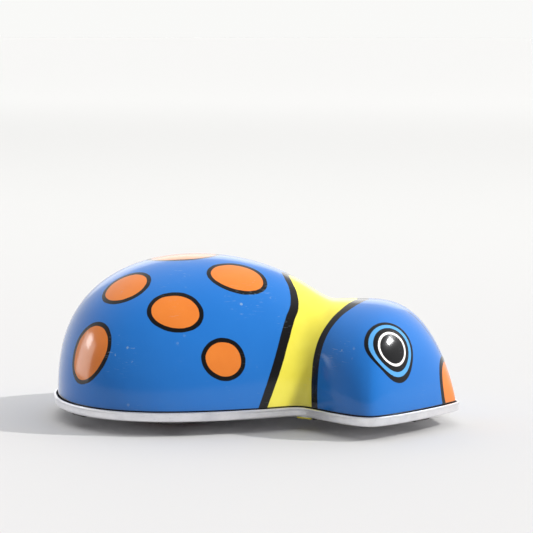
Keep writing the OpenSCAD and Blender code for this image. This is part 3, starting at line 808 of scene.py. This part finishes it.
def base_pan():
    """The pan: a profile with a rolled lip run round the outline, and a double floor."""
    shape = Shape()
    corner, lip = 0.5 * MM, 0.14 * MM
    profile = [(PAN_OUT - corner + corner * math.sin(a), GAP_Z + corner * (1 - math.cos(a)))
               for a in np.linspace(0, math.pi / 2, 7)]
    top = RIM_Z
    profile += [(PAN_OUT, top - 0.75 * MM), (PAN_OUT + 0.04 * MM, top - 0.55 * MM),
                (PAN_OUT + 0.8 * lip, top - 0.42 * MM), (PAN_OUT + lip, top - 0.27 * MM),
                (PAN_OUT + 0.8 * lip, top - 0.12 * MM), (PAN_OUT, top - 0.02 * MM),
                (PAN_OUT - 0.18 * MM, top), (PAN_IN + 0.05 * MM, top - 0.06 * MM),
                (PAN_IN, top - 0.2 * MM), (PAN_IN, FLOOR_Z)]
    rings = [plan_outline(d) for d, z in profile]
    shape.grid([level_ring(ring, z) for ring, (d, z) in zip(rings, profile)], close_cols=True)
    openings = slot_rings()
    for level, ring in ((GAP_Z, rings[0]), (FLOOR_Z, rings[-1])):
        pan_floor(ring, level, openings, shape)
    for ring in openings:
        shape.grid([level_ring(ring, z) for z in (GAP_Z, FLOOR_Z)], close_cols=True)
    shape.piece("pan_rolled_edge", "toy", "bare_tin", ["base_pan"], [PAN_TIN])


def shell_tabs():
    """The shell's tabs, passed through the pan and bent inwards under it."""
    shape = Shape()
    top, low = FLOOR_Z + 0.3 * MM, FLOOR_Z - PAN_T - TAB_SLACK - SHELL_T

    def path(inset):
        r = TAB_BEND - inset
        turn = np.linspace(0, math.pi / 2, 7)
        arc = [(TAB_BEND - r * math.cos(a), low + TAB_BEND - r * math.sin(a)) for a in turn]
        return [(inset, top), (inset, FLOOR_Z), *arc, (TAB_LEG * 0.75, low + inset),
                (TAB_LEG * 0.93, low + inset), (TAB_LEG, low + inset)]

    for side in (1, -1):
        for tab in TABS:
            ends, run, inward = tab_line(*tab, side)
            length = np.linalg.norm(ends[1] - ends[0])
            sheets = []
            for inset in (0, SHELL_T):
                rows = []
                steps = path(inset)
                for k, (d, z) in enumerate(steps):
                    narrow = (0, 0.1, 0.35)[max(0, k - len(steps) + 3)] * MM
                    u = np.linspace(narrow, length - narrow, 9)
                    flat = ends[0] + u[:, None] * run + inward * d
                    rows.append(level_ring(flat, z))
                sheets.append(np.array(rows))
            outer, inner = sheets
            shape.grid(outer, 0 if tab == NECK_TAB else 1)
            shape.grid(inner, 1)
            for edge_a, edge_b in ((outer[:, 0], inner[:, 0]), (outer[:, -1], inner[:, -1]),
                                   (outer[-1], inner[-1]), (outer[0], inner[0])):
                shape.grid([edge_a, edge_b], 1)
    shape.piece("shell_tabs", "toy", "printed_tin", [], [PRINTED, DULL_TIN])


base_pan()
shell_tabs()


# ---------------------------------------------------------------- wheels and roller
WHEEL_RIBS = 54


def ribbed(count, depth, tread_r, half_width_of_tread):
    """Fine ribs across a tread: the radius dips between them."""
    def ripple(r, y, angles):
        if r < tread_r - 1e-6 or abs(y) > half_width_of_tread:
            return r
        return r - depth * (0.5 - 0.5 * np.cos(angles * count)) ** 2
    return ripple


def drive_wheel(name, node, side):
    """A moulded wheel: a thin web between hub and rim, and a ribbed tread."""
    low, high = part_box(node)
    centre = Vector((AXLE_AT.x, side * WHEEL_Y, AXLE_AT.z))
    r = (high.x - low.x) / 2
    w = WHEEL_W / 2
    inner = (centre.y - low.y) if side > 0 else (high.y - centre.y)
    outer = (high.y - centre.y) if side > 0 else (centre.y - low.y)
    bore, hub, web = 1.0 * MM, 2.4 * MM, 0.6 * MM
    profile = [(bore, -inner), (hub - 0.25 * MM, -inner), (hub, -inner + 0.25 * MM),
               (hub, -web - 0.4 * MM), (hub + 0.15 * MM, -web - 0.1 * MM), (hub + 0.4 * MM, -web),
               (r - 2.3 * MM, -web), (r - 2.0 * MM, -web - 0.15 * MM), (r - 1.8 * MM, -w + 0.2 * MM),
               (r - 1.6 * MM, -w + 0.04 * MM), (r - 1.3 * MM, -w)]
    steps = np.radians([-75, -60, -48, -38, -28, -20, -10, 0, 10, 20, 28, 38, 48, 60, 75])
    tread = [(r - 0.55 * MM * (1 - math.cos(a)), w * math.sin(a) * 0.98) for a in steps]
    profile += [(r - 0.7 * MM, -w)] + tread + [(r - 0.7 * MM, w)]
    profile += [(r - 1.3 * MM, w), (r - 1.6 * MM, w - 0.04 * MM), (r - 1.8 * MM, w - 0.2 * MM),
                (r - 2.0 * MM, web + 0.15 * MM), (r - 2.3 * MM, web), (hub + 1.4 * MM, web),
                (hub + 1.1 * MM, web + 0.12 * MM), (hub + 0.8 * MM, web), (hub + 0.4 * MM, web),
                (hub + 0.12 * MM, web + 0.12 * MM), (hub, web + 0.4 * MM), (hub, outer - 0.3 * MM),
                (hub - 0.3 * MM, outer), (bore, outer)]
    profile = [(p, side * y) for p, y in profile]
    shape = Shape()
    ripple = ribbed(WHEEL_RIBS, 0.22 * MM, r - 0.32 * MM, w)
    shape.grid(turned(profile, centre, 8 * WHEEL_RIBS, ripple), close_rows=True, close_cols=True)
    shape.piece(name, "drive", "red_plastic", [node], [RED], 40)


def roller():
    """The front roller, with a groove round its middle."""
    low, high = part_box("front_roller")
    centre = (low + high) / 2
    r, w = (high.x - low.x) / 2, (high.y - low.y) / 2
    profile = [(0.65 * MM, -w), (1.4 * MM, -w), (1.5 * MM, -w + 0.1 * MM),
               (1.5 * MM, -w + 0.45 * MM), (r - 1.2 * MM, -w + 0.5 * MM),
               (r - 1.0 * MM, -w + 0.2 * MM), (r - 0.5 * MM, -w + 0.2 * MM),
               (r - 0.2 * MM, -w + 0.3 * MM), (r, -w + 0.7 * MM), (r, -0.25 * MM),
               (r - 0.12 * MM, -0.12 * MM), (r - 0.12 * MM, 0.12 * MM)]
    profile += [(p, -y) for p, y in reversed(profile[:-2])]
    shape = Shape()
    shape.grid(turned(profile, centre, 128), close_rows=True, close_cols=True)
    shape.piece("roller_moulded", "roller", "red_plastic", ["front_roller"], [RED], 40)


drive_wheel("wheel_ribbed_left", "drive_wheel_left", 1)
drive_wheel("wheel_ribbed_right", "drive_wheel_right", -1)
roller()


# ---------------------------------------------------------------- rivets
RIVET_SIDES = 32
RIVET_HEAD, RIVET_DOME, RIVET_SHANK = 1.4 * MM, 0.5 * MM, 0.75 * MM


def circle_at(x, y, r, count):
    turn = np.linspace(0, 2 * math.pi, count, endpoint=False)
    return np.stack([x + r * np.cos(turn), y + r * np.sin(turn)], -1)


def rivets(name, node, four):
    """Domed rivets at the four corners of the CAD rivets' box, or at its two ends."""
    low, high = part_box(node)
    head, dome, sides = RIVET_HEAD, RIVET_DOME, RIVET_SIDES
    places = [(x, y) for x in ((low.x + head, high.x - head) if four else (middle(node).x,))
              for y in (low.y + head, high.y - head)]
    profile = [(head * math.sin(a), low.z + dome * (1 - math.cos(a)))
               for a in np.linspace(0.06, math.pi / 2, 7)]
    profile += [(RIVET_SHANK, low.z + dome), (RIVET_SHANK, high.z - dome)]
    profile += [(head * math.cos(a), high.z - dome + dome * math.sin(a))
                for a in np.linspace(0, math.pi / 2 - 0.06, 7)]
    shape = Shape()
    for x, y in places:
        rows = [level_ring(circle_at(x, y, r, sides), z) for r, z in profile]
        shape.grid(rows, close_cols=True)
        base = len(shape.verts)
        shape.verts += [(x, y, low.z), (x, y, high.z)]
        for k in range(sides):
            n = (k + 1) % sides
            shape.faces += [(base, base - sides * len(rows) + n, base - sides * len(rows) + k),
                            (base + 1, base - sides + k, base - sides + n)]
            shape.slots += [0, 0]
    shape.piece(name, "toy", "steel", [node], [STEEL])


rivets("rivets_motor_domed", "frame_rivets", True)
rivets("rivets_bracket_domed", "bracket_rivets", False)


# ---------------------------------------------------------------- key
WING_R, WING_HOLE_R, KEY_SHEET = 3.9 * MM, 1.55 * MM, 0.95 * MM
TUBE_R, TUBE_BORE_R, TUBE_L = 1.8 * MM, 1.0 * MM, 5.4 * MM
KEY_RIVET_SIDES = 28


def plate(outline, holes, thickness, bevel):
    """A flat plate with rounded edges: rows of a rounded edge round every outline, and two faces."""
    shape = Shape()
    turn = np.linspace(-math.pi / 2, math.pi / 2, 7)
    loops = []
    for ring, sense in [(outline, 1)] + [(h, -1) for h in holes]:
        ahead = np.roll(ring, -1, axis=0) - np.roll(ring, 1, axis=0)
        ahead /= np.linalg.norm(ahead, axis=1)[:, None]
        out = np.stack([ahead[:, 1], -ahead[:, 0]], -1) * sense
        rows = [level_ring(ring + out * bevel * (math.cos(a) - 1),
                           math.sin(a) * bevel + math.copysign(thickness / 2 - bevel, a))
                for a in turn if abs(a) > 1e-6]
        shape.grid(rows, close_cols=True)
        loops.append((rows[0], rows[-1]))
    for end in (0, 1):
        rings = [pair[end][:, :2] for pair in loops]
        flat, faces = filled(rings[0], rings[1:])
        shape.add(level_ring(flat, loops[0][end][0, 2]), faces)
    return shape


def key():
    """A stamped key: two looped wings, a waist and a tube folded round the winding shaft."""
    wing = WING_R
    wing_x, wing_y = (KEY_HIGH.x - KEY_LOW.x) / 2 - wing, KEY_HIGH.y - wing
    right = [(wing_x + wing * math.cos(a), wing_y + wing * math.sin(a))
             for a in np.linspace(-2.25, 2.0, 44)]
    dip = [(u, wing_y + wing * 0.86 - 0.9 * MM * (1 - (u / (wing_x * 0.6)) ** 2))
           for u in np.linspace(wing_x * 0.5, -wing_x * 0.5, 9)]
    left = [(-u, v) for u, v in reversed(right)]
    waist = [(-2.1 * MM, wing_y - 3.6 * MM), (-1.9 * MM, wing_y - 4.4 * MM),
             (1.9 * MM, wing_y - 4.4 * MM), (2.1 * MM, wing_y - 3.6 * MM)]
    outline = np.array(right + dip + left + waist)
    holes = [circle_at(s * wing_x, wing_y, WING_HOLE_R, 40) for s in (1, -1)]
    shape = plate(outline, holes, KEY_SHEET, 0.3 * MM)
    shape.verts = [(KEY_AT.x + u, v, KEY_AT.z + w) for u, v, w in shape.verts]
    r, bore, length = TUBE_R, TUBE_BORE_R, TUBE_L
    profile = [(bore, 0.1 * MM), (bore + 0.1 * MM, 0), (r - 0.15 * MM, 0), (r, 0.15 * MM),
               (r, length - 1.4 * MM), (r - 0.25 * MM, length - 0.5 * MM), (r - 0.8 * MM, length),
               (bore * 0.5, length), (bore * 0.5, length - 0.5 * MM), (bore, length - 0.6 * MM)]
    root = Vector((KEY_AT.x, KEY_LOW.y, KEY_AT.z))
    tube = Shape()
    tube.grid(turned(profile, root, 72), close_rows=True, close_cols=True)
    shape.add(tube.verts, tube.faces)
    shape.piece("key_stamped", "winder", "key_steel", ["key"], [NICKEL], 40)


def key_rivet():
    """A small rivet with two domed heads, across the key's tube."""
    low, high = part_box("key_rivet")
    centre = (low + high) / 2
    half, head = (high.z - low.z) / 2, (high.x - low.x) / 2
    dome = 0.3 * MM
    side = [(head * math.sin(a), -half + dome * (1 - math.cos(a)))
            for a in np.linspace(0.08, math.pi / 2, 6)]
    profile = side + [(0.5 * MM, -half + dome)]
    profile += [(r, -z) for r, z in reversed(profile)]
    shape = Shape()
    rows = [level_ring(circle_at(centre.x, centre.y, r, KEY_RIVET_SIDES), centre.z + z)
            for r, z in profile]
    shape.grid(rows, close_cols=True)
    for row in (rows[0], rows[-1]):
        shape.add(row, [tuple(range(KEY_RIVET_SIDES))])
    shape.piece("key_rivet_domed", "winder", "key_steel", ["key_rivet"], [STEEL])


key()
key_rivet()


# ---------------------------------------------------------------- mechanism left as CAD
CARRIED = {
    "frame_plate_left": PLATED, "frame_plate_right": PLATED, "front_bracket": PLATED,
    "frame_pillars": STEEL, "mainspring": SPRING, "winding_shaft": STEEL, "ratchet_wheel": STEEL,
    "great_wheel": BRASS, "click": STEEL, "click_rivet": BRASS, "click_spring": SPRING,
    "second_arbor": STEEL, "second_wheel": BRASS, "drive_axle": STEEL, "drive_pinion": BRASS,
    "escape_arbor": STEEL, "escape_wheel": BRASS, "pallet": STEEL, "pallet_pin": STEEL,
    "front_axle": STEEL,
}
for node, finish in CARRIED.items():
    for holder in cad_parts[node].material_slots:
        holder.link = "OBJECT"
        holder.material = finish


# ---------------------------------------------------------------- stage, light and camera
TABLE_HALF = 12.0


def stage_floor():
    """A wide pale table, painted paler farther back to stand for brighter light far off; clear when
    seen from below.
    """
    made, shader = material("stage_pale", Roughness=0.75, Specular_IOR_Level=0.2)
    y = split(Field(Field.tree.nodes.new("ShaderNodeTexCoord").outputs["Object"]))[1]
    # Painted light: the table's colour steps up from near to middle and fades to near white towards
    # the horizon
    far = ramp(y, -0.1, 0.5)
    horizon = ramp(y, 0.5, 2.2)
    horizon = horizon * horizon * (horizon * -2.0 + 3.0)
    near_and_middle = paint(far, (0.752, 0.747, 0.747), (0.795, 0.795, 0.785))
    feed(shader.inputs["Base Color"], paint(horizon, near_and_middle, (0.955, 0.955, 0.945)))
    clear = Field.tree.nodes.new("ShaderNodeBsdfTransparent")
    turned = Field.tree.nodes.new("ShaderNodeNewGeometry")
    either = Field.tree.nodes.new("ShaderNodeMixShader")
    Field.tree.links.new(turned.outputs["Backfacing"], either.inputs[0])
    Field.tree.links.new(shader.outputs[0], either.inputs[1])
    Field.tree.links.new(clear.outputs[0], either.inputs[2])
    Field.tree.links.new(either.outputs[0], Field.tree.nodes["Material Output"].inputs[0])
    corners = [(-1, -1), (1, -1), (1, 1), (-1, 1)]
    mesh = bpy.data.meshes.new("stage_table")
    mesh.from_pydata([(x * TABLE_HALF, y * TABLE_HALF, 0) for x, y in corners], [], [(0, 1, 2, 3)])
    mesh.polygons.foreach_set("use_smooth", [True] * len(mesh.polygons))
    mesh.materials.append(made)
    table = bpy.data.objects.new("stage_table", mesh)
    bpy.context.scene.collection.objects.link(table)


def direction(azimuth, elevation):
    a, e = math.radians(azimuth), math.radians(elevation)
    return Vector((math.cos(e) * math.cos(a), math.cos(e) * math.sin(a), math.sin(e)))


def hang(name, data, towards, receivers, mirrored, diffused):
    """Puts a lamp up a metre away, looking at the toy; receivers names what it lights."""
    lit = bpy.data.objects.new(name, data)
    lit.location = towards
    lit.rotation_mode = "QUATERNION"
    lit.rotation_quaternion = towards.to_track_quat("Z", "Y")
    lit.visible_camera = False
    lit.visible_glossy = mirrored
    lit.visible_diffuse = diffused
    lit.light_linking.receiver_collection = bpy.data.collections[receivers]
    bpy.context.scene.collection.objects.link(lit)


def sun(name, towards, energy, width, receivers, mirrored=True):
    data = bpy.data.lights.new(name, "SUN")
    data.energy = energy
    data.angle = math.radians(width)
    data.color = (1, 0.985, 0.955)
    hang(name, data, towards, receivers, mirrored, True)


def softbox(name, towards, width, depth, radiance, receivers, mirrored=True, diffused=True):
    """An area lamp a metre away that shows as an even patch of the given radiance."""
    data = bpy.data.lights.new(name, "AREA")
    data.shape = "RECTANGLE"
    data.size, data.size_y = width, depth
    data.energy = radiance * math.pi * width * depth
    hang(name, data, towards, receivers, mirrored, diffused)


def light_groups():
    """The table and the toy are lit apart, so that the table's shadow stays pale."""
    stage = bpy.data.collections.new("stage_only")
    toy = bpy.data.collections.new("toy_only")
    for obj in [o for o in bpy.data.objects if o.type == "MESH"]:
        (stage if obj.name.startswith("stage") else toy).objects.link(obj)


def surroundings():
    """Pale all round, brighter behind the toy than in front of it."""
    world = bpy.data.worlds.new("studio")
    bpy.context.scene.world = world
    world.use_nodes = True
    Field.tree = world.node_tree
    background = world.node_tree.nodes["Background"]
    ahead = split(Field(Field.tree.nodes.new("ShaderNodeTexCoord").outputs["Generated"]))[1]
    seen = Field(Field.tree.nodes.new("ShaderNodeLightPath").outputs["Is Camera Ray"])
    level = paint(ramp(ahead, -0.7, 0.5), (0.26, 0.26, 0.27), (0.95, 0.95, 0.95))
    feed(background.inputs["Color"], paint(seen, level, (0.95, 0.95, 0.935)))


CAMERA_TURN, CAMERA_FALL = math.radians(13.0), math.radians(10.54)
CAMERA_AWAY = 0.45
AIM_RIGHT, AIM_UP = 2.43 * MM, 28.44 * MM


def camera():
    """A long lens, 10.5 degrees above the table and 13 degrees round towards the nose."""
    turn, fall = CAMERA_TURN, CAMERA_FALL
    ahead = Vector((-math.cos(fall) * math.sin(turn), math.cos(fall) * math.cos(turn),
                    -math.sin(fall)))
    right = Vector((math.cos(turn), math.sin(turn), 0))
    up = right.cross(ahead)
    rim = Vector((0, 0, RIM_Z))
    data = bpy.data.cameras.new("camera")
    data.lens = 135.1
    data.clip_start, data.clip_end = 0.01, 20
    seen = bpy.data.objects.new("camera", data)
    seen.location = rim - ahead * CAMERA_AWAY
    aim = rim + right * AIM_RIGHT + up * AIM_UP
    seen.rotation_mode = "QUATERNION"
    seen.rotation_quaternion = (aim - seen.location).to_track_quat("-Z", "Y")
    bpy.context.scene.collection.objects.link(seen)
    bpy.context.scene.camera = seen


stage_floor()
surroundings()
light_groups()
sun("sun_toy", direction(-9, 48), 4.5, 9, "toy_only", mirrored=False)
sun("sun_table", direction(14, 39), 1.72, 1, "stage_only")
softbox("softbox_table", direction(90, 80), 1.6, 1.6, 0.47, "stage_only")
softbox("softbox_front", direction(-70, 38), 1.4, 1.1, 0.3, "toy_only", mirrored=False)
softbox("softbox_behind", direction(106, 19), 0.8, 0.34, 0.75, "toy_only")
softbox("softbox_glint", direction(11, 42), 0.12, 0.12, 100, "toy_only", diffused=False)
softbox("softbox_left", direction(-177, 11), 0.37, 0.36, 3.4, "toy_only")
softbox("softbox_left_core", direction(-178, 19), 0.13, 0.13, 9.0, "toy_only")
camera()
bpy.context.scene.view_settings.view_transform = "Standard"
